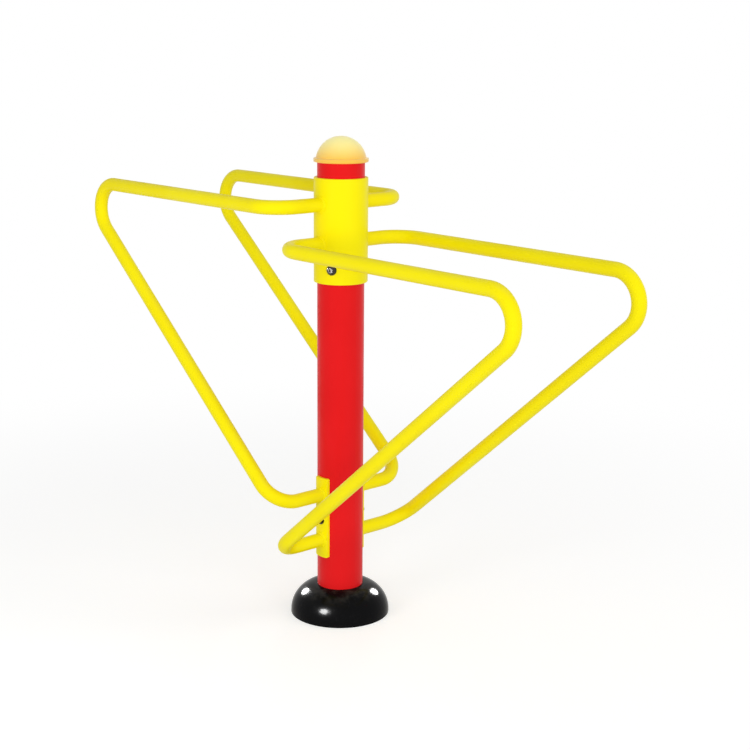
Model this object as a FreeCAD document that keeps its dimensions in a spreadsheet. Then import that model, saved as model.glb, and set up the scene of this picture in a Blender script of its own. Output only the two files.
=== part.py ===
# Outdoor parallel bars: one round post carries a higher and a lower pair of bars. The bars are
# bent tubes, welded to a sleeve round the post and to two curved saddles near its foot.
# Millimetres, +Z up, +X towards the lower pair, origin on the post's axis at the ground.
import FreeCAD, Part
import math
import os

import Sketcher

SIZES = {
    # Post
    "post_diameter": 140,
    "post_wall": 4,
    "post_head": 44,
    # Bars: reach runs from the post's axis to the outermost point of a bar, and the level gap is the
    # clear height between the two pairs at the sleeve
    "bar_diameter": 42,
    "bar_wall": 3,
    "bend_radius": 84,
    "bar_reach": 948,
    "upper_spacing": 500,
    "upper_bar_height": 1270,
    "upper_foot_height": 390,
    "lower_spacing": 472,
    "bar_level_gap": 73,
    "lower_foot_height": 247,
    "foot_spacing": 506,
    "bar_weld_length": 7,
    "bar_weld_width": 3,
    # Sleeve that carries the upper ends of the bars
    "sleeve_wall": 9.5,
    "sleeve_clearance": 0.5,
    "sleeve_above_bars": 76,
    "sleeve_below_bars": 117,
    "sleeve_edge": 1.5,
    # Saddles that carry the lower ends of the bars
    "saddle_width": 54,
    "saddle_thickness": 8,
    "saddle_clearance": 0.3,
    "saddle_margin": 54,
    "saddle_corner": 5,
    # Bolts, washers and threaded bosses: crowned heads on the sleeve, low cap heads on the saddles
    "sleeve_bolt_count": 2,
    "sleeve_bolt_angle": 120,
    "sleeve_bolt_inset": 44,
    "sleeve_head_diameter": 28,
    "sleeve_head_height": 8.8,
    "sleeve_head_rim": 1.5,
    "sleeve_head_flat": 14,
    "sleeve_head_round": 12,
    "sleeve_socket": 10,
    "sleeve_socket_depth": 5,
    "saddle_bolt_drop": 6,
    "saddle_head_diameter": 24,
    "saddle_head_height": 10,
    "saddle_head_rim": 8.5,
    "saddle_head_flat": 21,
    "saddle_head_round": 1.5,
    "saddle_socket": 12,
    "saddle_socket_depth": 5,
    "bolt_diameter": 16,
    "bolt_tip_gap": 2,
    "bolt_hole_clearance": 0.5,
    "washer_width": 7,
    "washer_thickness": 3,
    "spot_face_rim": 1,
    "spot_face_depth": 2,
    "boss_wall": 5,
    "boss_depth": 18,
    "boss_clearance": 0.2,
    "thread_clearance": 0.15,
    # Base flange, gussets and weld
    "flange_thickness": 12,
    "flange_bore": 70,
    "flange_margin": 16,
    "anchor_count": 4,
    "anchor_angle": 45,
    "anchor_hole": 18,
    "anchor_edge": 28,
    "gusset_count": 4,
    "gusset_thickness": 8,
    "gusset_height": 45,
    "gusset_toe": 8,
    "gusset_setback": 12,
    "gusset_cope": 9,
    "base_weld_leg": 6,
    # Base cover
    "cover_reach": 82,
    "cover_lip": 5,
    "cover_dome_radius": 87,
    "cover_wall": 3,
    "cover_clearance": 0.5,
    # Top cap
    "cap_overhang": 11,
    "cap_rim_height": 12,
    "cap_rim_round": 3,
    "cap_dome_step": 6,
    "cap_wall": 4,
    "cap_plug_depth": 30,
    "cap_plug_clearance": 0.3,
}

FRONT = -1
REAR = 1
QUARTER_TURN = 90
HALF_TURN = 180
FULL_TURN = 360
ORIGIN = FreeCAD.Vector(0, 0, 0)
ACROSS = FreeCAD.Vector(1, 0, 0)
UP = FreeCAD.Vector(0, 0, 1)
HEX_STEP = 60
HEX_TWIST = 15

doc = FreeCAD.newDocument("parallel_bars")
sheet = doc.addObject("Spreadsheet::Sheet", "sizes")
for row, (alias, number) in enumerate(SIZES.items(), start=1):
    sheet.set(f"A{row}", alias)
    sheet.set(f"B{row}", str(number))
    sheet.setAlias(f"B{row}", alias)
doc.recompute()

# The bars and saddles sit in front of the post and behind it
SIDE_ANGLE = str(QUARTER_TURN)
SIDE_COUNT = "2"

# Sizes worked out from the sheet, as expressions that the features follow
POST_RADIUS = "(sizes.post_diameter / 2)"
POST_BORE = f"({POST_RADIUS} - sizes.post_wall)"
BAR_RADIUS = "(sizes.bar_diameter / 2)"
BAR_HEIGHTS = {
    "upper": "sizes.upper_bar_height",
    "lower": "(sizes.upper_bar_height - sizes.bar_diameter - sizes.bar_level_gap)",
}
SLEEVE_BORE = f"({POST_RADIUS} + sizes.sleeve_clearance)"
SLEEVE_RADIUS = f"({SLEEVE_BORE} + sizes.sleeve_wall)"
SLEEVE_BOTTOM = f"({BAR_HEIGHTS['lower']} - sizes.sleeve_below_bars)"
SLEEVE_TOP = f"({BAR_HEIGHTS['upper']} + sizes.sleeve_above_bars)"
POST_TOP = f"({SLEEVE_TOP} + sizes.post_head)"
SADDLE_BORE = f"({POST_RADIUS} + sizes.saddle_clearance)"
SADDLE_RADIUS = f"({SADDLE_BORE} + sizes.saddle_thickness)"
SADDLE_BOTTOM = "(sizes.lower_foot_height - sizes.saddle_margin)"
SADDLE_TOP = "(sizes.upper_foot_height + sizes.saddle_margin)"
SADDLE_MIDDLE = "((sizes.upper_foot_height + sizes.lower_foot_height) / 2)"
SADDLE_BOLT_HEIGHT = f"({SADDLE_MIDDLE} - sizes.saddle_bolt_drop)"
SLEEVE_BOLT_HEIGHT = f"({SLEEVE_BOTTOM} + sizes.sleeve_bolt_inset)"
THREAD = "(sizes.bolt_diameter + 2 * sizes.thread_clearance)"
BOLT_HOLE = "(sizes.bolt_diameter + 2 * sizes.bolt_hole_clearance)"
WASHER = "(sizes.bolt_diameter + 2 * sizes.washer_width)"
SPOT_FACE = f"({WASHER} + 2 * sizes.spot_face_rim)"
BOSS = "(sizes.bolt_diameter + 2 * sizes.boss_wall)"
BOSS_HOLE = f"({BOSS} + 2 * sizes.boss_clearance)"
BOSS_INNER = f"({POST_RADIUS} - sizes.boss_depth)"
COVER_RADIUS = f"({POST_RADIUS} + sizes.cover_reach)"
COVER_HOLE = f"({POST_RADIUS} + sizes.cover_clearance)"
COVER_CENTRE = f"({COVER_RADIUS} - sizes.cover_dome_radius)"
FLANGE_RADIUS = f"({COVER_RADIUS} - sizes.cover_wall - sizes.flange_margin)"
ANCHOR_CIRCLE = f"({FLANGE_RADIUS} - sizes.anchor_edge)"
CAP_RIM = f"({POST_RADIUS} + sizes.cap_overhang)"
CAP_DOME = f"({CAP_RIM} - sizes.cap_dome_step)"
CAP_PLUG = f"({POST_BORE} - sizes.cap_plug_clearance)"


def value(expression):
    """The number that an expression has now."""
    return float(sheet.evalExpression(expression))


def new_body(name):
    return doc.addObject("PartDesign::Body", name)


def origin_feature(body, role):
    return next(item for item in body.Origin.OriginFeatures if item.Role == role)


def attached_sketch(body, role):
    sketch = body.newObject("Sketcher::SketchObject", body.Name + "_sketch")
    sketch.AttachmentSupport = (origin_feature(body, role), [""])
    sketch.MapMode = "FlatFace"
    return sketch


def bound_constraint(sketch, kind, *where, size):
    """A dimension of a sketch that follows an expression."""
    index = sketch.addConstraint(Sketcher.Constraint(kind, *where, value(size)))
    sketch.setExpression(f"Constraints[{index}]", size)


def arc_between(start, end, radius, turn):
    """An arc of under half a circle, to the left (turn 1) or to the right (turn -1)."""
    chord = end - start
    left = FreeCAD.Vector(-chord.y, chord.x, 0).normalize() * turn
    centre_rise = math.sqrt(radius**2 - (chord.Length / 2) ** 2)
    crown = (start + end) * 0.5 + left * (centre_rise - radius)
    return Part.Arc(start, crown, end)


def draw_outline(sketch, corners, arcs):
    """A closed outline. Each arc is named by the corner it leaves, with its radius and turn."""
    spots = [FreeCAD.Vector(value(across), value(along), 0) for across, along in corners]
    count = len(spots)
    for index, start in enumerate(spots):
        end = spots[(index + 1) % count]
        if index in arcs:
            radius, turn = arcs[index]
            sketch.addGeometry(arc_between(start, end, value(radius), turn), False)
        else:
            sketch.addGeometry(Part.LineSegment(start, end), False)

    def end_at(line, spot):
        near_start = (sketch.getPoint(line, 1) - spot).Length
        near_end = (sketch.getPoint(line, 2) - spot).Length
        return 1 if near_start < near_end else 2

    for index, spot in enumerate(spots):
        before = (index - 1) % count
        this_end = end_at(index, spot)
        joined = Sketcher.Constraint("Coincident", before, end_at(before, spot), index, this_end)
        sketch.addConstraint(joined)
        across, along = corners[index]
        for kind, size, axis in (("DistanceX", across, -2), ("DistanceY", along, -1)):
            if size == "0":
                sketch.addConstraint(Sketcher.Constraint("PointOnObject", index, this_end, axis))
            else:
                bound_constraint(sketch, kind, -1, 1, index, this_end, size=size)
    for index, (radius, _) in arcs.items():
        bound_constraint(sketch, "Radius", index, size=radius)


def spin_outline(body, corners, arcs, axis):
    """A full turn of an outline about one of its sketch's axes."""
    sketch = attached_sketch(body, "XZ_Plane")
    draw_outline(sketch, corners, arcs)
    turn = body.newObject("PartDesign::Revolution", body.Name + "_turn")
    turn.Profile = sketch
    turn.ReferenceAxis = (sketch, [axis])
    turn.Angle = FULL_TURN
    return turn


def repeat_round(body, features, count):
    """Copies of features, evenly spaced round the post's axis."""
    pattern = body.newObject("PartDesign::PolarPattern", body.Name + "_ring")
    pattern.Originals = features
    pattern.Axis = (origin_feature(body, "Z_Axis"), [""])
    pattern.Angle = FULL_TURN
    pattern.setExpression("Occurrences", count)
    body.Tip = pattern


def place_round(body, height, angle):
    """Lift a body to a height and turn it about the post's axis."""
    body.Placement = FreeCAD.Placement(ORIGIN, FreeCAD.Rotation(UP, value(angle)))
    body.setExpression("Placement.Base.z", height)
    body.setExpression("Placement.Rotation.Angle", angle)


def turned(name, corners, arcs=None):
    """A piece that is round about the post's axis: corners are (radius, height)."""
    body = new_body(name)
    spin_outline(body, corners, arcs or {}, "V_Axis")
    return body


def ring(name, inner, outer, bottom, top):
    return turned(name, [(inner, bottom), (outer, bottom), (outer, top), (inner, top)])


def radial_turned(name, corners, arcs, height, angle, count):
    """Pieces round about lines that leave the post's axis: corners are (distance, radius)."""
    body = new_body(name)
    piece = spin_outline(body, corners, arcs, "H_Axis")
    repeat_round(body, [piece], count)
    place_round(body, height, angle)
    return body


def radial_rods(name, diameter, inner, outer, height, angle, count):
    """Round rods that point away from the post's axis, between two distances from it."""
    corners = [(inner, "0"), (outer, "0"), (outer, f"{diameter} / 2"), (inner, f"{diameter} / 2")]
    return radial_turned(name, corners, {}, height, angle, count)


def cut(name, base, *tools):
    """A base solid with the tools taken away from it."""
    result = doc.addObject("Part::Cut", name)
    result.Base = base
    if len(tools) == 1:
        result.Tool = tools[0]
    else:
        fused = doc.addObject("Part::MultiFuse", name + "_tools")
        fused.Shapes = list(tools)
        result.Tool = fused
    return result


sub_parts = {}


def keep(node, piece):
    """Name a finished piece, so that it is checked and written."""
    piece.Label = node
    sub_parts[node] = piece


# Bolted joints: the sleeve has bolts on opposite sides, and each saddle has one between its two tubes
BOLTED_JOINTS = {
    "sleeve": dict(
        face=SLEEVE_RADIUS,
        height=SLEEVE_BOLT_HEIGHT,
        angle="sizes.sleeve_bolt_angle",
        count="sizes.sleeve_bolt_count",
    ),
    "saddle": dict(face=SADDLE_RADIUS, height=SADDLE_BOLT_HEIGHT, angle=SIDE_ANGLE, count=SIDE_COUNT),
}


def hex_rods(name, flats, inner, outer, height, angle, count):
    """Six-sided rods that point away from the post's axis, for the key sockets of the bolts."""
    body = new_body(name)
    sketch = attached_sketch(body, "YZ_Plane")
    sketch.setExpression("AttachmentOffset.Base.z", inner)
    corner = f"({flats} / 2 / cos({HEX_STEP} / 2))"
    turns = range(HEX_TWIST, FULL_TURN, HEX_STEP)
    draw_outline(sketch, [(f"{corner} * cos({turn})", f"{corner} * sin({turn})") for turn in turns], {})
    pad = body.newObject("PartDesign::Pad", name + "_pad")
    pad.Profile = sketch
    pad.setExpression("Length", f"{outer} - {inner}")
    repeat_round(body, [pad], count)
    place_round(body, height, angle)
    return body


def build_bolted_joint(name, face, **spread):
    """The fasteners of one joint. Returns the cutters for the post and for the bolted piece."""
    seat = f"({face} - sizes.spot_face_depth)"
    head_seat = f"({seat} + sizes.washer_thickness)"
    head_top = f"({head_seat} + sizes.{name}_head_height)"
    past_head = f"({head_top} + sizes.{name}_head_height)"
    holes = radial_rods(name + "_bolt_holes", BOLT_HOLE, "0", past_head, **spread)
    spot_faces = radial_rods(name + "_spot_faces", SPOT_FACE, seat, past_head, **spread)
    post_holes = radial_rods(name + "_post_holes", BOSS_HOLE, "0", face, **spread)

    boss_rods = radial_rods(name + "_boss_rods", BOSS, BOSS_INNER, face, **spread)
    threads = radial_rods(name + "_threads", THREAD, "0", face, **spread)
    flush_bosses = doc.addObject("Part::Common", name + "_flush_bosses")
    flush_bosses.Base = boss_rods
    flush_bosses.Tool = ring(name + "_post_core", "0", POST_RADIUS, "0", POST_TOP)
    keep(name + "_bosses", cut(name + "_boss_pieces", flush_bosses, threads))

    washer_rods = radial_rods(name + "_washer_rods", WASHER, seat, head_seat, **spread)
    keep(name + "_washers", cut(name + "_washer_pieces", washer_rods, holes))

    tip = f"({BOSS_INNER} + sizes.bolt_tip_gap)"
    head_radius = f"sizes.{name}_head_diameter / 2"
    bolt_corners = [
        (tip, "0"),
        (head_top, "0"),
        (head_top, f"sizes.{name}_head_flat / 2"),
        (f"{head_seat} + sizes.{name}_head_rim", head_radius),
        (head_seat, head_radius),
        (head_seat, "sizes.bolt_diameter / 2"),
        (tip, "sizes.bolt_diameter / 2"),
    ]
    crown = {2: (f"sizes.{name}_head_round", 1)}
    bolt_blanks = radial_turned(name + "_bolt_blanks", bolt_corners, crown, **spread)
    socket_floor = f"({head_top} - sizes.{name}_socket_depth)"
    sockets = hex_rods(name + "_sockets", f"sizes.{name}_socket", socket_floor, past_head, **spread)
    keep(name + "_bolts", cut(name + "_bolt_pieces", bolt_blanks, sockets))
    return post_holes, [holes, spot_faces]


cutters = {name: build_bolted_joint(name, **joint) for name, joint in BOLTED_JOINTS.items()}

# Post: a tube that stands on the flange, with holes for the threaded bosses
post_blank = ring("post_blank", POST_BORE, POST_RADIUS, "sizes.flange_thickness", POST_TOP)
keep("post_tube", cut("post", post_blank, *[post_holes for post_holes, _ in cutters.values()]))

# Sleeve: slides over the post, with its outer edges eased
eased_radius = f"({SLEEVE_RADIUS} - sizes.sleeve_edge)"
sleeve_corners = [
    (SLEEVE_BORE, SLEEVE_BOTTOM),
    (eased_radius, SLEEVE_BOTTOM),
    (SLEEVE_RADIUS, f"{SLEEVE_BOTTOM} + sizes.sleeve_edge"),
    (SLEEVE_RADIUS, f"{SLEEVE_TOP} - sizes.sleeve_edge"),
    (eased_radius, SLEEVE_TOP),
    (SLEEVE_BORE, SLEEVE_TOP),
]
sleeve_blank = turned("sleeve_blank", sleeve_corners)
keep("sleeve", cut("sleeve_piece", sleeve_blank, *cutters["sleeve"][1]))


def build_saddle(node, angle):
    """A plate with round corners, rolled to the post. Angle 0 faces the front."""
    body = new_body(node + "_plate")
    sketch = attached_sketch(body, "XZ_Plane")
    half = "(sizes.saddle_width / 2)"
    inset = f"({half} - sizes.saddle_corner)"
    low = f"({SADDLE_BOTTOM} + sizes.saddle_corner)"
    high = f"({SADDLE_TOP} - sizes.saddle_corner)"
    corners = [
        (f"-{inset}", SADDLE_BOTTOM),
        (inset, SADDLE_BOTTOM),
        (half, low),
        (half, high),
        (inset, SADDLE_TOP),
        (f"-{inset}", SADDLE_TOP),
        (f"-{half}", high),
        (f"-{half}", low),
    ]
    rounds = {start: ("sizes.saddle_corner", 1) for start in (1, 3, 5, 7)}
    draw_outline(sketch, corners, rounds)
    pad = body.newObject("PartDesign::Pad", node + "_pad")
    pad.Profile = sketch
    pad.setExpression("Length", SADDLE_RADIUS)
    body.Placement = FreeCAD.Placement(ORIGIN, FreeCAD.Rotation(UP, angle))
    rolled = doc.addObject("Part::Common", node + "_rolled")
    rolled.Base = body
    rolled.Tool = ring(node + "_ring", SADDLE_BORE, SADDLE_RADIUS, SADDLE_BOTTOM, SADDLE_TOP)
    keep(node, cut(node + "_piece", rolled, *cutters["saddle"][1]))


build_saddle("saddle_front", 0)
build_saddle("saddle_rear", HALF_TURN)


def bent_route(points, radius):
    """A wire of straight runs joined by tangent bends of one radius."""
    edges = []
    run_start = points[0]
    for before, corner, after in zip(points, points[1:], points[2:]):
        back = (before - corner).normalize()
        onward = (after - corner).normalize()
        half_angle = back.getAngle(onward) / 2
        inward = (back + onward).normalize()
        tangent = radius / math.tan(half_angle)
        crown = corner + inward * (radius / math.sin(half_angle) - radius)
        edges.append(Part.LineSegment(run_start, corner + back * tangent).toShape())
        edges.append(Part.Arc(corner + back * tangent, crown, corner + onward * tangent).toShape())
        run_start = corner + onward * tangent
    edges.append(Part.LineSegment(run_start, points[-1]).toShape())
    return Part.Wire(edges)


def swept_rod(name, route, start, radius):
    """A solid round rod along a route that starts across the post's axis."""
    section = doc.addObject("Part::Circle", name + "_section")
    section.Placement = FreeCAD.Placement(start, FreeCAD.Rotation(ACROSS, QUARTER_TURN))
    section.setExpression("Radius", radius)
    rod = doc.addObject("Part::Sweep", name)
    rod.Sections = [section]
    rod.Spine = (route, [f"Edge{number}" for number in range(1, len(route.Shape.Edges) + 1)])
    rod.Solid = True
    return rod


sleeve_core = ring("sleeve_core", "0", SLEEVE_RADIUS, SLEEVE_BOTTOM, SLEEVE_TOP)
saddle_core = ring("saddle_core", "0", SADDLE_RADIUS, SADDLE_BOTTOM, SADDLE_TOP)


def elbow_corner(bar_height, foot_height):
    """Distance to the corner of a bar's two runs, whose bend ends at the bar's reach."""
    bend = value("sizes.bend_radius")
    centre_along = value(f"sizes.bar_reach - {BAR_RADIUS}") - bend
    centre_rise = bar_height - bend - foot_height
    to_centre = math.atan2(centre_rise, centre_along)
    slope = to_centre - math.asin(bend / math.hypot(centre_rise, centre_along))
    return (bar_height - foot_height) / math.tan(slope)


def build_bar(pair, side_name, side, direction):
    """One bent tube: out of the sleeve, along the hand bar, and back down to the saddle."""
    node = f"{pair}_bar_{side_name}"
    across = side * value(f"sizes.{pair}_spacing / 2")
    foot_across = side * value("sizes.foot_spacing / 2")
    bar_height = value(BAR_HEIGHTS[pair])
    foot_height = value(f"sizes.{pair}_foot_height")
    inside_sleeve = side * value(SLEEVE_BORE)
    inside_saddle = side * value(SADDLE_BORE)
    corner = direction * elbow_corner(bar_height, foot_height)
    points = [
        FreeCAD.Vector(0, inside_sleeve, bar_height),
        FreeCAD.Vector(0, across, bar_height),
        FreeCAD.Vector(corner, across, bar_height),
        FreeCAD.Vector(0, foot_across, foot_height),
        FreeCAD.Vector(0, inside_saddle, foot_height),
    ]
    route = doc.addObject("Part::Feature", node + "_route")
    route.Shape = bent_route(points, value("sizes.bend_radius"))
    outside = swept_rod(node + "_outside", route, points[0], BAR_RADIUS)
    bore = swept_rod(node + "_bore", route, points[0], f"{BAR_RADIUS} - sizes.bar_wall")
    keep(node, cut(node + "_piece", outside, bore, sleeve_core, saddle_core))


for pair, direction in (("upper", -1), ("lower", 1)):
    for side_name, side in (("front", FRONT), ("rear", REAR)):
        build_bar(pair, side_name, side, direction)


def build_bar_welds(node, height, face, core):
    """Fillet beads round the ends of a pair of bars, front and rear."""
    root = f"({face} - sizes.bar_weld_length)"
    tip = f"({face} + sizes.bar_weld_length)"
    skirt = f"{BAR_RADIUS} + 2 * sizes.bar_weld_width"
    corners = [(root, BAR_RADIUS), (tip, BAR_RADIUS), (root, skirt)]
    cones = radial_turned(node + "_cones", corners, {}, height, SIDE_ANGLE, SIDE_COUNT)
    keep(node, cut(node + "_pieces", cones, core))


for pair in ("upper", "lower"):
    build_bar_welds(f"{pair}_bar_welds", BAR_HEIGHTS[pair], SLEEVE_RADIUS, sleeve_core)
    build_bar_welds(f"{pair}_foot_welds", f"sizes.{pair}_foot_height", SADDLE_RADIUS, saddle_core)

# Base flange: a round plate with a drain bore and holes for the anchor bolts
flange = ring("base_flange_body", "sizes.flange_bore / 2", FLANGE_RADIUS, "0", "sizes.flange_thickness")
anchor_sketch = attached_sketch(flange, "XY_Plane")
anchor_circle = anchor_sketch.addGeometry(
    Part.Circle(FreeCAD.Vector(value(ANCHOR_CIRCLE), 0, 0), UP, value("sizes.anchor_hole / 2")), False
)
anchor_sketch.addConstraint(Sketcher.Constraint("PointOnObject", anchor_circle, 3, -1))
bound_constraint(anchor_sketch, "DistanceX", -1, 1, anchor_circle, 3, size=ANCHOR_CIRCLE)
bound_constraint(anchor_sketch, "Diameter", anchor_circle, size="sizes.anchor_hole")
anchor_holes = flange.newObject("PartDesign::Pocket", "anchor_holes")
anchor_holes.Profile = anchor_sketch
anchor_holes.Reversed = True
anchor_holes.setExpression("Length", "sizes.flange_thickness")
repeat_round(flange, [anchor_holes], "sizes.anchor_count")
place_round(flange, "0", "sizes.anchor_angle")
keep("base_flange", flange)

# Gussets: upright webs between the post and the flange, coped over the post's weld
gussets = new_body("base_gussets_body")
gusset_sketch = attached_sketch(gussets, "XZ_Plane")
gusset_end = f"({FLANGE_RADIUS} - sizes.gusset_setback)"
gusset_corners = [
    (f"{POST_RADIUS} + sizes.gusset_cope", "sizes.flange_thickness"),
    (gusset_end, "sizes.flange_thickness"),
    (gusset_end, "sizes.flange_thickness + sizes.gusset_toe"),
    (POST_RADIUS, "sizes.flange_thickness + sizes.gusset_height"),
    (POST_RADIUS, "sizes.flange_thickness + sizes.gusset_cope"),
]
draw_outline(gusset_sketch, gusset_corners, {})
web = gussets.newObject("PartDesign::Pad", "gusset_web")
web.Profile = gusset_sketch
web.SideType = "Symmetric"
web.setExpression("Length", "sizes.gusset_thickness")
repeat_round(gussets, [web], "sizes.gusset_count")
keep("base_gussets", gussets)

# Weld between the post and the flange
weld_corners = [
    (POST_RADIUS, "sizes.flange_thickness"),
    (f"{POST_RADIUS} + sizes.base_weld_leg", "sizes.flange_thickness"),
    (POST_RADIUS, "sizes.flange_thickness + sizes.base_weld_leg"),
]
keep("base_weld", turned("base_weld_body", weld_corners))


def dome_height(radius):
    """Height of the cover's dome where it meets the hole for the post."""
    return f"(sizes.cover_lip + sqrt(({radius})^2 - ({COVER_HOLE} - {COVER_CENTRE})^2))"


# Base cover: a domed shell that stands on the ground and lifts along the post
inner_dome = "(sizes.cover_dome_radius - sizes.cover_wall)"
cover_inside = f"({COVER_RADIUS} - sizes.cover_wall)"
cover_corners = [
    (COVER_RADIUS, "0"),
    (COVER_RADIUS, "sizes.cover_lip"),
    (COVER_HOLE, dome_height("sizes.cover_dome_radius")),
    (COVER_HOLE, dome_height(inner_dome)),
    (cover_inside, "sizes.cover_lip"),
    (cover_inside, "0"),
]
cover_arcs = {1: ("sizes.cover_dome_radius", 1), 3: (inner_dome, -1)}
keep("base_cover", turned("base_cover_body", cover_corners, cover_arcs))

# Top cap: a hollow dome on a rim, with a plug that fits the post's bore
cap_inner_dome = f"({CAP_DOME} - sizes.cap_wall)"
plug_bore = f"({CAP_PLUG} - sizes.cap_wall)"
rim_top = f"({POST_TOP} + sizes.cap_rim_height)"
rim_inset = f"({CAP_RIM} - sizes.cap_rim_round)"
cap_corners = [
    (CAP_PLUG, POST_TOP),
    (rim_inset, POST_TOP),
    (CAP_RIM, f"{POST_TOP} + sizes.cap_rim_round"),
    (CAP_RIM, f"{rim_top} - sizes.cap_rim_round"),
    (rim_inset, rim_top),
    (f"sqrt({CAP_DOME}^2 - sizes.cap_rim_height^2)", rim_top),
    ("0", f"{POST_TOP} + {CAP_DOME}"),
    ("0", f"{POST_TOP} + {cap_inner_dome}"),
    (plug_bore, f"{POST_TOP} + sqrt({cap_inner_dome}^2 - {plug_bore}^2)"),
    (plug_bore, f"{POST_TOP} - sizes.cap_plug_depth"),
    (CAP_PLUG, f"{POST_TOP} - sizes.cap_plug_depth"),
]
cap_arcs = {
    1: ("sizes.cap_rim_round", 1),
    3: ("sizes.cap_rim_round", 1),
    5: (CAP_DOME, 1),
    7: (cap_inner_dome, -1),
}
keep("top_cap", turned("top_cap_body", cap_corners, cap_arcs))

doc.recompute()
for item in doc.Objects:
    if "Invalid" in item.State or "Error" in item.State:
        raise RuntimeError(f"{item.Label} failed: {item.State}")
for node, piece in sub_parts.items():
    if piece.Shape.isNull() or not piece.Shape.isValid() or not piece.Shape.Solids:
        raise RuntimeError(f"{node} has no sound solid")

os.makedirs("parts", exist_ok=True)
for node, piece in sub_parts.items():
    piece.Shape.exportStep(f"parts/{node}.step")
    print(f"{node}: {len(piece.Shape.Solids)} solids, {piece.Shape.Volume / 1000:.1f} cm3")
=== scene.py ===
# %% [markdown]
# # Outdoor parallel bars
# A round steel post carries a higher and a lower pair of bars. The bars are bent tubes, welded to
# a sleeve near the post's top and to two curved saddles near its foot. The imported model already
# holds every solid in its true shape and place, so this lesson dresses it: finishes, weld beads
# with their ripples, a studio, and the camera that took the photograph.

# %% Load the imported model
import math

import bmesh
import bpy
from mathutils import Matrix, Vector


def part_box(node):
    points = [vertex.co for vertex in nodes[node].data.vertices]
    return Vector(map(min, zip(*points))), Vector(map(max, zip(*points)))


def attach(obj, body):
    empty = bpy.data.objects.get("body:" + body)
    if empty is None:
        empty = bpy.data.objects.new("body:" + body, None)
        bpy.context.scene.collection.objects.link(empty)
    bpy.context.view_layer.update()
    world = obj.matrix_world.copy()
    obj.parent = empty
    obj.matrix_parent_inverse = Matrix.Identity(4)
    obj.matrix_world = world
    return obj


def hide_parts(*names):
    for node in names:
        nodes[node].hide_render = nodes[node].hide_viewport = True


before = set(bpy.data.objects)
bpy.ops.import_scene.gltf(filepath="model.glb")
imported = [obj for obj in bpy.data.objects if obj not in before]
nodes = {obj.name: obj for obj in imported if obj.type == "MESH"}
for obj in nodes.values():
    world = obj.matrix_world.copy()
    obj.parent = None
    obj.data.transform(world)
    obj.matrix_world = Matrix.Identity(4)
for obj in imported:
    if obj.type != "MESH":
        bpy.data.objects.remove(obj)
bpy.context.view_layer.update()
scene = bpy.context.scene
scene.view_settings.view_transform = "Standard"

# %% [markdown]
# ## Camera
# The photograph was taken from the lower pair's side, a little above the bars and looking down.
# The camera could be placed by eye, but a bearing round the post, a height, a dip, a pan and a
# small roll, all fitted to points on the bars, put every edge where the photograph has it.

# %% Camera at the photograph's place
PHOTO_SIDE = 750
SENSOR_MM = 36
FOCAL_PIXELS = 1483.64
CAMERA_BEARING = math.radians(49.888)
CAMERA_REACH = 4.3513
CAMERA_HEIGHT = 1.7703
CAMERA_DIP = math.radians(13.168)
CAMERA_PAN = math.radians(-1.367)
CAMERA_ROLL = math.radians(0.461)

camera_data = bpy.data.cameras.new("photo_camera")
camera_data.sensor_width = SENSOR_MM
camera_data.lens = FOCAL_PIXELS / PHOTO_SIDE * SENSOR_MM
camera = bpy.data.objects.new("photo_camera", camera_data)
scene.collection.objects.link(camera)
scene.camera = camera
camera_spot = Vector((
    CAMERA_REACH * math.sin(CAMERA_BEARING),
    -CAMERA_REACH * math.cos(CAMERA_BEARING),
    CAMERA_HEIGHT,
))
camera.matrix_world = (
    Matrix.Translation(camera_spot)
    @ Matrix.Rotation(CAMERA_BEARING + CAMERA_PAN, 4, "Z")
    @ Matrix.Rotation(math.pi / 2 - CAMERA_DIP, 4, "X")
    @ Matrix.Rotation(CAMERA_ROLL, 4, "Z")
)
print(f"camera at {tuple(round(place, 2) for place in camera_spot)}, lens {camera_data.lens:.1f} mm")

# %% [markdown]
# ## Node helpers
# Every finish below is a small network of shader nodes. Three helpers keep the cells short: one
# adds a node with its settings and input values, one starts a node group with named sockets, and
# one places such a group, so that an effect can be built once and used in several finishes.

# %% Helpers for nodes and groups
def add_node(tree, kind, inputs=None, **settings):
    """A shader node with its settings made. An input is given a value, or a socket to link from."""
    node = tree.nodes.new("ShaderNode" + kind)
    for name, setting in settings.items():
        setattr(node, name, setting)
    for name, given in (inputs or {}).items():
        if isinstance(given, bpy.types.NodeSocket):
            tree.links.new(given, node.inputs[name])
        else:
            node.inputs[name].default_value = given
    return node


def new_group(name, inputs, outputs):
    """An empty node group, its entry's sockets, and a function that links a socket to an output."""
    group = bpy.data.node_groups.new(name, "ShaderNodeTree")
    for label, default in inputs.items():
        socket = group.interface.new_socket(label, in_out="INPUT", socket_type="NodeSocketFloat")
        socket.default_value = default
    for label in outputs:
        group.interface.new_socket(label, in_out="OUTPUT", socket_type="NodeSocketFloat")
    entry = group.nodes.new("NodeGroupInput")
    leave = group.nodes.new("NodeGroupOutput")

    def put_out(label, socket):
        group.links.new(socket, leave.inputs[label])

    return group, entry.outputs, put_out


def spaced(label):
    """A socket's label, given as a name with underscores."""
    return label.replace("_", " ")


def use_group(tree, group, **inputs):
    """A node group placed in a finish with its own values. Returns its output sockets."""
    node = add_node(tree, "Group", node_tree=group)
    for label, number in inputs.items():
        node.inputs[spaced(label)].default_value = number
    return node.outputs


print("node helpers ready")

# %% [markdown]
# The networks keep asking for the same few things: a sum, a value taken from one range to another,
# noise that stays fixed to the piece, and a colour that shifts with a mask. Each gets a function,
# so that a finish reads as a list of what is done to its colour and its roughness.

# %% Helpers for values and colours
MIX_BASE = 6
MIX_TINT = 7
MIX_COLOUR = 2


def maths(tree, operation, *values):
    """A sum on sockets or numbers, such as ADD, MULTIPLY or MAXIMUM."""
    return add_node(tree, "Math", dict(enumerate(values)), operation=operation).outputs[0]


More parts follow.
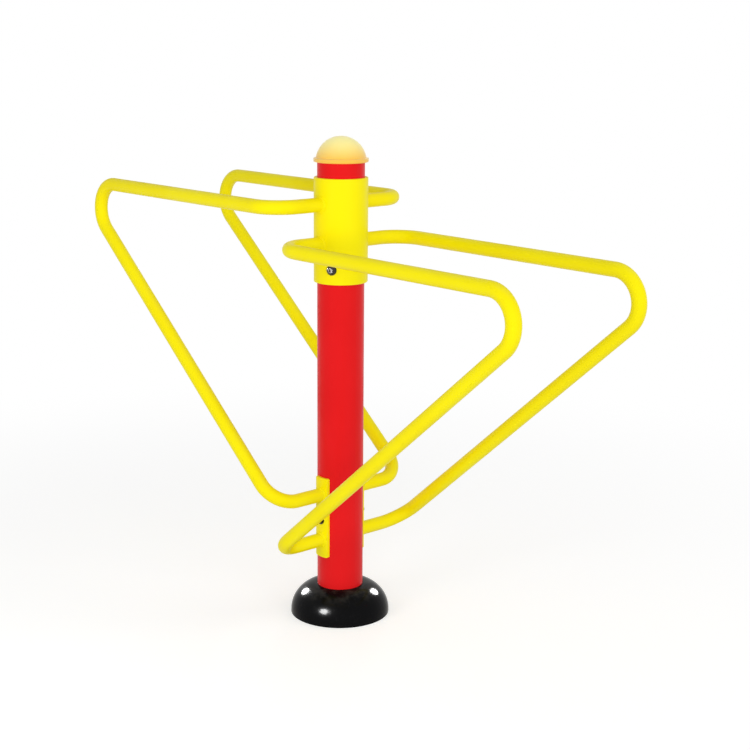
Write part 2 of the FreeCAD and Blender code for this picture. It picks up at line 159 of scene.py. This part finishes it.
def ramp(tree, socket, low, high, to_low=0.0, to_high=1.0):
    """A value taken smoothly from one range to another."""
    inputs = {"Value": socket, "From Min": low, "From Max": high, "To Min": to_low, "To Max": to_high}
    return add_node(tree, "MapRange", inputs, interpolation_type="SMOOTHSTEP").outputs["Result"]


def between(tree, mask, low, high):
    """A number that goes from low to high with a mask."""
    return ramp(tree, mask, 0.0, 1.0, low, high)


def object_place(tree):
    """The place of a point in its piece's own coordinates."""
    return add_node(tree, "TexCoord").outputs["Object"]


def noise(tree, scale, detail):
    """Soft noise from 0 to 1 in Object coordinates."""
    inputs = {"Vector": object_place(tree), "Scale": scale, "Detail": detail}
    return add_node(tree, "TexNoise", inputs).outputs["Fac"]


def tinted(tree, mask, base, tint, share=1.0):
    """A colour that goes from base towards tint with a share of a mask."""
    inputs = {0: mask if share == 1.0 else maths(tree, "MULTIPLY", mask, share)}
    for end, given in ((MIX_BASE, base), (MIX_TINT, tint)):
        inputs[end] = given if isinstance(given, bpy.types.NodeSocket) else (*given, 1)
    return add_node(tree, "Mix", inputs, data_type="RGBA").outputs[MIX_COLOUR]


print("value and colour helpers ready")

# %% [markdown]
# ## Effects that several finishes share
# Each effect is a group that gives a height or a mask in Object coordinates, which need no
# unwrapping and stay fixed to the piece. The first is orange peel. Powder coat is sprayed as dust
# and melted in an oven, so it keeps a fine waviness and faint clouds of thickness.

# %% Orange peel: fine waves and broad clouds
CLOUD_SCALE = 5.0
CLOUD_LIMITS = (0.35, 0.70)

orange_peel, entry, put_out = new_group("orange_peel", {"Wave Scale": 520.0}, ["Height", "Cloud"])
clouds = noise(orange_peel, CLOUD_SCALE, detail=3.0)
put_out("Height", noise(orange_peel, entry["Wave Scale"], detail=1.5))
put_out("Cloud", ramp(orange_peel, clouds, *CLOUD_LIMITS))
print("orange_peel:", [socket.name for socket in orange_peel.interface.items_tree])

# %% [markdown]
# Edges wear first. The Bevel node gives the normal that a rounded edge would have, so where it
# leaves the true normal there is an edge. The limits are cosines of the angle between the two.
# Noise breaks the wear into chips, because a line of even width would look painted on.

# %% Worn edges: where the rounded normal leaves the true one
EDGE_LIMITS = (0.99, 0.88)
CHIP_SCALE = 90.0
CHIP_LIMITS = (0.40, 0.62)

worn_edges, entry, put_out = new_group("worn_edges", {"Reach": 0.0015}, ["Mask"])
rounded = add_node(worn_edges, "Bevel", {"Radius": entry["Reach"]}, samples=6).outputs["Normal"]
true_normal = add_node(worn_edges, "NewGeometry").outputs["Normal"]
turn = add_node(worn_edges, "VectorMath", {0: rounded, 1: true_normal}, operation="DOT_PRODUCT")
edge = ramp(worn_edges, turn.outputs["Value"], *EDGE_LIMITS)
chips = ramp(worn_edges, noise(worn_edges, CHIP_SCALE, detail=4.0), *CHIP_LIMITS)
put_out("Mask", maths(worn_edges, "MULTIPLY", edge, chips))
print("worn_edges:", [socket.name for socket in worn_edges.interface.items_tree])

# %% [markdown]
# Dust settles on what faces up. The normal's upright part tells how level a face lies, and noise
# spreads the dust in soft patches.

# %% Settled dust: on faces that look up, in soft patches
LEVEL_LIMITS = (0.55, 1.0)
PATCH_LIMITS = (0.38, 0.70)

settled_dust, entry, put_out = new_group("settled_dust", {"Patch Scale": 18.0}, ["Mask"])
facing = add_node(settled_dust, "NewGeometry").outputs["Normal"]
upward = add_node(settled_dust, "SeparateXYZ", {0: facing}).outputs["Z"]
level = ramp(settled_dust, upward, *LEVEL_LIMITS)
patches = ramp(settled_dust, noise(settled_dust, entry["Patch Scale"], detail=2.0), *PATCH_LIMITS)
put_out("Mask", maths(settled_dust, "MULTIPLY", level, patches))
print("settled_dust:", [socket.name for socket in settled_dust.interface.items_tree])

# %% [markdown]
# Handling leaves hairline scratches. Noise takes its middle value along long curved lines, so a
# point whose noise is close to that value lies on a line. A second noise breaks the lines into
# short runs.

# %% Hairlines: thin curved scratches, broken into short runs
MIDDLE_VALUE = 0.5
LINE_LIMITS = (0.004, 0.0)
RUN_SCALE = 45.0
RUN_LIMITS = (0.50, 0.60)

hairlines, entry, put_out = new_group("hairlines", {"Scratch Scale": 26.0}, ["Mask"])
field = noise(hairlines, entry["Scratch Scale"], detail=2.0)
off_line = maths(hairlines, "ABSOLUTE", maths(hairlines, "SUBTRACT", field, MIDDLE_VALUE))
line = ramp(hairlines, off_line, *LINE_LIMITS)
runs = ramp(hairlines, noise(hairlines, RUN_SCALE, detail=1.0), *RUN_LIMITS)
put_out("Mask", maths(hairlines, "MULTIPLY", line, runs))
print("hairlines:", [socket.name for socket in hairlines.interface.items_tree])

# %% [markdown]
# ## Finishes
# Each finish is one Principled shader. Numbers that are the same all over, such as the specular
# level, sit on the shader's own sockets. What varies is linked: the colour, the roughness and the
# normal. The dust has one colour for all finishes, because it comes from the same ground.

# %% Helpers for finishes
DUST = (0.62, 0.57, 0.46)


def new_finish(name, **levels):
    """A material with the constant levels of its shader. Returns it, its node tree and the shader."""
    finish = bpy.data.materials.new(name)
    finish.use_nodes = True
    tree = finish.node_tree
    shader = tree.nodes["Principled BSDF"]
    for label, level in levels.items():
        shader.inputs[spaced(label)].default_value = level
    return finish, tree, shader


def wire(tree, shader, **sockets):
    """Link each socket to the shader's input of that name."""
    for label, socket in sockets.items():
        tree.links.new(socket, shader.inputs[spaced(label)])


def bumped(tree, height, strength, distance):
    """The normal of a surface with a fine height on it."""
    inputs = {"Height": height, "Strength": strength, "Distance": distance}
    return add_node(tree, "Bump", inputs).outputs["Normal"]


def roughened(tree, roughness, mask, extra):
    """A roughness that a mask makes coarser by an extra amount."""
    return maths(tree, "ADD", maths(tree, "MULTIPLY", mask, extra), roughness)


print("finish helpers ready")

# %% [markdown]
# The tubes, sleeve and saddles are yellow powder coat and the post is red, both smooth and fairly
# glossy. One function makes both, because they differ only in colour. The clouds shift the colour
# a little, worn edges turn paler, and dust greys what faces up.

# %% Powder coats
def powder_coat(name, colour, deep, pale):
    """Coat on steel: its colour, the tone of its thick clouds and the tone of its worn edges."""
    finish, tree, shader = new_finish(name, Specular_IOR_Level=0.12)
    peel = use_group(tree, orange_peel)
    edge = use_group(tree, worn_edges)["Mask"]
    dust = use_group(tree, settled_dust)["Mask"]
    clouded = tinted(tree, peel["Cloud"], colour, deep, share=0.55)
    worn = tinted(tree, edge, clouded, pale, share=0.5)
    rough = between(tree, peel["Cloud"], 0.34, 0.44)
    wire(
        tree, shader,
        Base_Color=tinted(tree, dust, worn, DUST, share=0.05),
        Roughness=roughened(tree, rough, dust, extra=0.12),
        Normal=bumped(tree, peel["Height"], strength=0.08, distance=0.0004),
    )
    return finish


yellow_coat = powder_coat(
    "yellow_powder_coat",
    colour=(0.98, 0.86, 0.002),
    deep=(0.96, 0.80, 0.001),
    pale=(0.95, 0.86, 0.25),
)
red_coat = powder_coat(
    "red_powder_coat",
    colour=(0.78, 0.009, 0.011),
    deep=(0.71, 0.007, 0.009),
    pale=(0.79, 0.14, 0.12),
)
print("made", yellow_coat.name, "and", red_coat.name)

# %% [markdown]
# The base cover is black moulded plastic with a high gloss, so it shows its lamps as crisp white
# spots. Its base colour is nearly black and its roughness low. Hairlines and a little dust break
# the gloss up, because a perfect mirror would look like wet paint.

# %% Black plastic
BLACK = (0.003, 0.003, 0.0035)
SCUFF = (0.04, 0.04, 0.045)

black_plastic, tree, shader = new_finish("black_gloss_plastic", Specular_IOR_Level=0.05)
scratch = use_group(tree, hairlines)["Mask"]
dust = use_group(tree, settled_dust, Patch_Scale=40.0)["Mask"]
peel = use_group(tree, orange_peel, Wave_Scale=240.0)
scuffed = tinted(tree, scratch, BLACK, SCUFF, share=0.25)
gloss = between(tree, peel["Cloud"], 0.12, 0.18)
wire(
    tree, shader,
    Base_Color=tinted(tree, dust, scuffed, DUST, share=0.03),
    Roughness=roughened(tree, gloss, scratch, extra=0.2),
    Normal=bumped(tree, peel["Height"], strength=0.03, distance=0.0004),
)
print("made", black_plastic.name)

# %% [markdown]
# The cap is a hollow dome of pale yellow plastic that lets light through: its top is paler than its
# rim, which is thicker, and its outline is paler still. Plain glass would be too clear and plain
# paint too solid, so the shader scatters light under its surface and has a thin sheen. The light
# that a thin wall lets in from behind is painted light: a faint glow, which fades out towards the
# rim, and a base colour that pales with height. That colour is partly the plastic's own deeper tone
# at the thick rim and partly painted light. The flow of the moulding varies the tone.

# %% Translucent cap plastic
CAP_HEIGHT = 0.075
RIM_TONE = (0.97, 0.55, 0.06)
# painted light: the top's pale tone stands partly for light that comes through the thin wall
TOP_TONE_WITH_PAINTED_LIGHT = (1.0, 0.90, 0.34)
FLOW_TONE = (0.98, 0.78, 0.26)
NO_GLOW = (0, 0, 0)
# painted light: a glow on the cap, which is no lamp
TOP_PAINTED_GLOW = (1.0, 0.88, 0.34)

cap_plastic, tree, shader = new_finish(
    "cream_cap_plastic",
    Subsurface_Weight=0.25,
    Subsurface_Radius=(1.0, 0.8, 0.3),
    Subsurface_Scale=0.004,
    Specular_IOR_Level=0.5,
    Sheen_Weight=0.4,
    Sheen_Roughness=0.35,
    Sheen_Tint=(1.0, 0.97, 0.75, 1),
    # painted light: a faint glow in place of the light let in from behind
    Emission_Strength=0.12,
)
peel = use_group(tree, orange_peel, Wave_Scale=160.0)
scratch = use_group(tree, hairlines, Scratch_Scale=34.0)["Mask"]
dust = use_group(tree, settled_dust, Patch_Scale=30.0)["Mask"]
cap_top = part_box("top_cap")[1].z
height = add_node(tree, "SeparateXYZ", {0: object_place(tree)}).outputs["Z"]
# painted light: this share rises with height, so the tone pales and the glow grows towards the top
painted_light_towards_top = ramp(tree, height, cap_top - CAP_HEIGHT, cap_top)
graded_with_painted_light = tinted(tree, painted_light_towards_top, RIM_TONE, TOP_TONE_WITH_PAINTED_LIGHT)
flow = tinted(tree, peel["Cloud"], graded_with_painted_light, FLOW_TONE, share=0.25)
gloss = between(tree, peel["Cloud"], 0.28, 0.36)
wire(
    tree, shader,
    Base_Color=tinted(tree, dust, flow, DUST, share=0.08),
    Roughness=roughened(tree, gloss, scratch, extra=0.15),
    Normal=bumped(tree, peel["Height"], strength=0.05, distance=0.0005),
    Emission_Color=tinted(tree, painted_light_towards_top, NO_GLOW, TOP_PAINTED_GLOW),
)
print("made", cap_plastic.name)

# %% [markdown]
# The bolts and washers are dark stainless steel, which is bare metal. Its grain shifts the grey a
# little, edges that a key has rubbed are brighter, and scratches dull the shine.

# %% Bolt steel
STEEL = (0.060, 0.058, 0.056)
STEEL_DEEP = (0.040, 0.039, 0.038)
STEEL_RUBBED = (0.30, 0.29, 0.28)
GRAIN_LIMITS = (0.3, 0.7)

bolt_steel, tree, shader = new_finish("bolt_steel_dark", Metallic=1.0)
grain = use_group(tree, orange_peel, Wave_Scale=900.0)
edge = use_group(tree, worn_edges, Reach=0.0008)["Mask"]
scratch = use_group(tree, hairlines, Scratch_Scale=120.0)["Mask"]
metal = tinted(tree, grain["Cloud"], STEEL, STEEL_DEEP)
rough = ramp(tree, grain["Height"], *GRAIN_LIMITS, to_low=0.20, to_high=0.32)
wire(
    tree, shader,
    Base_Color=tinted(tree, edge, metal, STEEL_RUBBED, share=0.6),
    Roughness=roughened(tree, rough, scratch, extra=0.15),
    Normal=bumped(tree, grain["Height"], strength=0.15, distance=0.0002),
)
print("made", bolt_steel.name)

# %% [markdown]
# The flange, the gussets and the bosses are hot-dip galvanised. Galvanising grows flat crystals,
# the spangle, and Voronoi cells give them their patchwork of greys. Each crystal has a roughness of
# its own too, so the patchwork shows in the shine.

# %% Galvanised steel
SPANGLE_SCALE = 140.0
ZINC_DARK = (0.42, 0.44, 0.45)
ZINC_PALE = (0.60, 0.62, 0.63)

zinc, tree, shader = new_finish("galvanised_zinc", Metallic=1.0)
cells = {"Vector": object_place(tree), "Scale": SPANGLE_SCALE, "Randomness": 1.0}
spangle = add_node(tree, "TexVoronoi", cells).outputs["Color"]
crystal = add_node(tree, "SeparateColor", {0: spangle}).outputs[0]
grain = use_group(tree, orange_peel, Wave_Scale=300.0)
dust = use_group(tree, settled_dust)["Mask"]
patchwork = tinted(tree, crystal, ZINC_DARK, ZINC_PALE)
wire(
    tree, shader,
    Base_Color=tinted(tree, dust, patchwork, DUST, share=0.25),
    Roughness=between(tree, crystal, 0.34, 0.54),
    Normal=bumped(tree, grain["Height"], strength=0.12, distance=0.0005),
)
print("made", zinc.name)

# %% [markdown]
# Each solid came in with the name of its finish in the part's record, so a table from that name to
# the new material dresses all of them. The solids themselves aren't touched.

# %% Dress the solids
FINISHES = {
    "bar_yellow": yellow_coat,
    "post_red": red_coat,
    "cover_black": black_plastic,
    "cap_cream": cap_plastic,
    "bolt_steel": bolt_steel,
    "flange_zinc": zinc,
}
for node in nodes.values():
    for holder in node.material_slots:
        holder.material = FINISHES[holder.material.name.split(".")[0]]
print("dressed", len(nodes), "nodes")

# %% [markdown]
# ## Weld beads
# A welder lays a bead in small steps, and each step freezes as a crescent, so a bead looks like a
# row of overlapping coins. The solids have plain fillets there. A ripple could be painted with a
# bump, but at the joints it would vanish from the outline, so each bead is modelled: a round
# section is spun about the tube's axis, its rings swell and shrink in step, and the seam follows
# the round face that the tube stands on.

# %% A rippled bead round a tube's end
BEAD_SIDES = 12
BEAD_WIDTH = 0.0034
BEAD_LENGTH = 0.0064
RIPPLE_PITCH = 0.0036
RIPPLE_STEPS = 6
RIPPLE_DEPTH = 0.10
CRESCENT = 0.45


def spin_section(bm, spot, facing, centre, axis, ripples):
    """A ring of plain weld: a round section at a spot, spun a full turn about an axis."""
    old = set(bm.verts)
    at_spot = Matrix.Translation(spot) @ facing
    section = bmesh.ops.create_circle(bm, segments=BEAD_SIDES, radius=BEAD_WIDTH, matrix=at_spot)["verts"]
    loop = section + list({edge for vert in section for edge in vert.link_edges})
    steps = ripples * RIPPLE_STEPS
    bmesh.ops.spin(bm, geom=loop, cent=centre, axis=axis, angle=math.tau, steps=steps, use_merge=True)
    return [vert for vert in bm.verts if vert not in old]


def ripple(turn, ripples, outward, along):
    """How much a section swells at a turn round the seam. The crest lags at the bead's feet."""
    lag = CRESCENT * math.cos(math.atan2(along, outward) - math.pi / 4)
    return 1 + RIPPLE_DEPTH * math.cos(turn * ripples + lag * math.tau)


def add_tube_bead(bm, side, height, tube, face):
    """A bead where a tube of a radius meets the round face of a radius about the post's axis."""
    ripples = round(math.tau * tube / RIPPLE_PITCH)
    spot = Vector((0, side * face, height + tube))
    on_edge = Matrix.Rotation(math.pi / 2, 4, "Y")
    centre = Vector((0, side * face, height))
    for vert in spin_section(bm, spot, on_edge, centre, (0, 1, 0), ripples):
        turn = math.atan2(vert.co.x, vert.co.z - height)
        outward = math.hypot(vert.co.x, vert.co.z - height) - tube
        along = side * vert.co.y - face
        swell = ripple(turn, ripples, outward, along)
        reach = tube + outward * swell
        across = reach * math.sin(turn)
        lift = along * swell * BEAD_LENGTH / BEAD_WIDTH
        vert.co = (across, side * (math.sqrt(face**2 - across**2) + lift), height + reach * math.cos(turn))


print("beads", BEAD_WIDTH, "m wide, one ripple in", RIPPLE_PITCH, "m")

# %% [markdown]
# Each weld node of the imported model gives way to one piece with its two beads, on the front and on
# the rear. Heights and radii are read from the solids' boxes, so the beads stay on their joints if
# the part changes.

# %% Beads round the bars' ends
def finish_piece(bm, name, node, finish):
    """Turn a bmesh into a piece that stands for a node and moves with its body."""
    bmesh.ops.recalc_face_normals(bm, faces=bm.faces)
    for face in bm.faces:
        face.smooth = True
    mesh = bpy.data.meshes.new(name)
    bm.to_mesh(mesh)
    bm.free()
    mesh.materials.append(finish)
    piece = bpy.data.objects.new(name, mesh)
    scene.collection.objects.link(piece)
    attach(piece, "bar_frame")
    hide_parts(node)
    print(f"{name}: {len(mesh.polygons)} faces")


def middle_height(node):
    """The height of the middle of a node's box."""
    low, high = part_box(node)
    return (low.z + high.z) / 2


sleeve_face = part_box("sleeve")[1].x
saddle_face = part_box("saddle_rear")[1].y
for pair in ("upper", "lower"):
    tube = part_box(f"{pair}_bar_front")[1].z - middle_height(f"{pair}_bar_welds")
    for end, face in (("bar", sleeve_face), ("foot", saddle_face)):
        node = f"{pair}_{end}_welds"
        beads = bmesh.new()
        for side in (-1, 1):
            add_tube_bead(beads, side, middle_height(node), tube, face)
        finish_piece(beads, f"{pair}_{end}_beads", node, yellow_coat)

# %% [markdown]
# Under the cover one more bead joins the post to its flange. It runs round the post itself, so its
# section is spun about the upright axis and needs no seam to follow.

# %% Bead between the post and the flange
FOOT_BEAD = 0.0055


def add_foot_bead(bm, post, height):
    """A bead round the post's own radius, on a flange whose top is at a height."""
    ripples = round(math.tau * post / RIPPLE_PITCH)
    upright = Matrix.Rotation(math.pi / 2, 4, "X")
    for vert in spin_section(bm, Vector((post, 0, height)), upright, (0, 0, height), (0, 0, 1), ripples):
        turn = math.atan2(vert.co.y, vert.co.x)
        outward = math.hypot(vert.co.x, vert.co.y) - post
        along = vert.co.z - height
        swell = ripple(turn, ripples, outward, along) * FOOT_BEAD / BEAD_WIDTH
        reach = post + outward * swell
        vert.co = (reach * math.cos(turn), reach * math.sin(turn), height + along * swell)


bead = bmesh.new()
add_foot_bead(bead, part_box("post_tube")[1].x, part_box("base_flange")[1].z)
finish_piece(bead, "base_bead", "base_weld", zinc)

# %% [markdown]
# ## Studio
# The object stands on white paper in soft light. The world gives an even fill from above. It is
# plain white only to what looks at it: the Light Path node tells a camera, glossy or transmission
# ray from one that gathers light, so the backdrop can be whiter than the light it gives.

# %% World
WHITE = (1, 1, 1, 1)
FILL = 0.45


def seen_ray(tree):
    """One for a ray that looks at a surface, zero for a ray that gathers light."""
    path = add_node(tree, "LightPath").outputs
    direct = maths(tree, "MAXIMUM", path["Is Camera Ray"], path["Is Glossy Ray"])
    return maths(tree, "MAXIMUM", direct, path["Is Transmission Ray"])


def split_by_ray(tree, gathered, seen):
    """A shader for rays that gather light and another one for rays that look."""
    inputs = {0: seen_ray(tree), 1: gathered.outputs[0], 2: seen.outputs[0]}
    return add_node(tree, "MixShader", inputs).outputs[0]


world = bpy.data.worlds.new("white_studio")
world.use_nodes = True
scene.world = world
tree = world.node_tree
tree.nodes.clear()
fill = add_node(tree, "Background", {"Color": WHITE, "Strength": FILL})
backdrop = add_node(tree, "Background", {"Color": WHITE, "Strength": 1.0})
add_node(tree, "OutputWorld", {"Surface": split_by_ray(tree, fill, backdrop)})
print("world gives", FILL, "of white")

# %% [markdown]
# The paper throws a little more light up from below than the world gives from above, so that the
# tubes' upper edges are the darker ones, as in the photograph. Light that really bounced off the
# paper would need many samples to be smooth, so the paper glows evenly instead for the rays that
# gather light. To the camera it is matt and shows the object's shadow, with a glow that keeps it
# pale, and further out it fades into the backdrop.

# %% Paper floor
BOUNCE = 0.57
PAPER_TONE = (0.70, 0.70, 0.70, 1)
PAPER_GLOW = 0.49
FADE_LIMITS = (0.8, 3.2)
PAPER_RADIUS = 9.0
PAPER_SIDES = 96

paper = bpy.data.materials.new("white_paper")
paper.use_nodes = True
paper.cycles.emission_sampling = "NONE"
tree = paper.node_tree
tree.nodes.clear()
bounce = add_node(tree, "Emission", {"Color": WHITE, "Strength": BOUNCE})
matt = add_node(tree, "BsdfDiffuse", {"Color": PAPER_TONE})
glow = add_node(tree, "Emission", {"Color": WHITE, "Strength": PAPER_GLOW})
far = add_node(tree, "Emission", {"Color": WHITE, "Strength": 1.0})
near = add_node(tree, "AddShader", {0: matt.outputs[0], 1: glow.outputs[0]})
distance = add_node(tree, "VectorMath", {0: object_place(tree)}, operation="LENGTH").outputs["Value"]
fade = ramp(tree, distance, *FADE_LIMITS)
looked_at = add_node(tree, "MixShader", {0: fade, 1: near.outputs[0], 2: far.outputs[0]})
add_node(tree, "OutputMaterial", {"Surface": split_by_ray(tree, bounce, looked_at)})

sheet = bmesh.new()
bmesh.ops.create_circle(sheet, cap_ends=True, segments=PAPER_SIDES, radius=PAPER_RADIUS)
paper_mesh = bpy.data.meshes.new("paper_floor")
sheet.to_mesh(paper_mesh)
sheet.free()
paper_mesh.materials.append(paper)
paper_floor = bpy.data.objects.new("paper_floor", paper_mesh)
scene.collection.objects.link(paper_floor)
print("floor", PAPER_RADIUS, "m round the post")

# %% [markdown]
# Softboxes give the form its shade. The front and right ones stand far off and light all the bars
# alike. The left one stands near, so that the rear bars get less of it and step back, as they do in
# the photograph. A high one opens the shade on the right, and a low one behind lights the far side.

# %% Softboxes
CHEST = (0, 0, 0.85)


def new_lamp(name, spot, aim, width, shape):
    """An area lamp at a spot, turned to its aim. Returns its object and its data."""
    data = bpy.data.lights.new(name, "AREA")
    data.shape = shape
    data.size = width
    lamp = bpy.data.objects.new(name, data)
    scene.collection.objects.link(lamp)
    throw = Vector(spot) - Vector(aim)
    lamp.matrix_world = Matrix.Translation(spot) @ throw.to_track_quat("Z", "Y").to_matrix().to_4x4()
    lamp.visible_camera = False
    return lamp, data


def softbox(name, spot, width, level):
    """A square lamp that adds a level of light to a white face turned to it, at chest height."""
    lamp, data = new_lamp(name, spot, CHEST, width, "SQUARE")
    data.energy = level * math.pi**2 * (Vector(spot) - Vector(CHEST)).length_squared
    lamp.visible_glossy = False


softbox("front_softbox", (7.5, -6.3, 2.6), width=4.2, level=0.31)
softbox("left_softbox", (0.3, -2.5, 1.25), width=1.1, level=0.21)
softbox("right_softbox", (6.9, -1.0, 1.9), width=2.9, level=0.17)
softbox("high_softbox", (2.45, 2.95, 4.05), width=2.1, level=0.12)
softbox("back_softbox", (-7.0, 8.0, 1.3), width=2.2, level=0.20)

# %% [markdown]
# Three round lamps put the crisp spots on the black cover and the bolts. Light linking keeps them
# off the paint, so they can be bright enough to show in dark gloss.

# %% Glints in the dark gloss
COVER = (0, 0, 0.07)

dark_gloss = bpy.data.collections.new("dark_gloss")
for name in ("base_cover", "sleeve_bolts", "saddle_bolts"):
    dark_gloss.objects.link(nodes[name])


def glint(name, spot, width, radiance):
    """A round lamp that only the dark glossy pieces see, as a spot."""
    lamp, data = new_lamp(name, spot, COVER, width, "DISK")
    data.energy = radiance * math.pi**2 * (width / 2) ** 2
    lamp.visible_diffuse = False
    lamp.light_linking.receiver_collection = dark_gloss


glint("front_glint", (0.42, -2.66, 1.60), width=1.0, radiance=230)
glint("left_glint", (-2.75, 0.05, 1.34), width=0.9, radiance=120)
glint("right_glint", (-0.45, 2.68, 1.41), width=0.9, radiance=120)
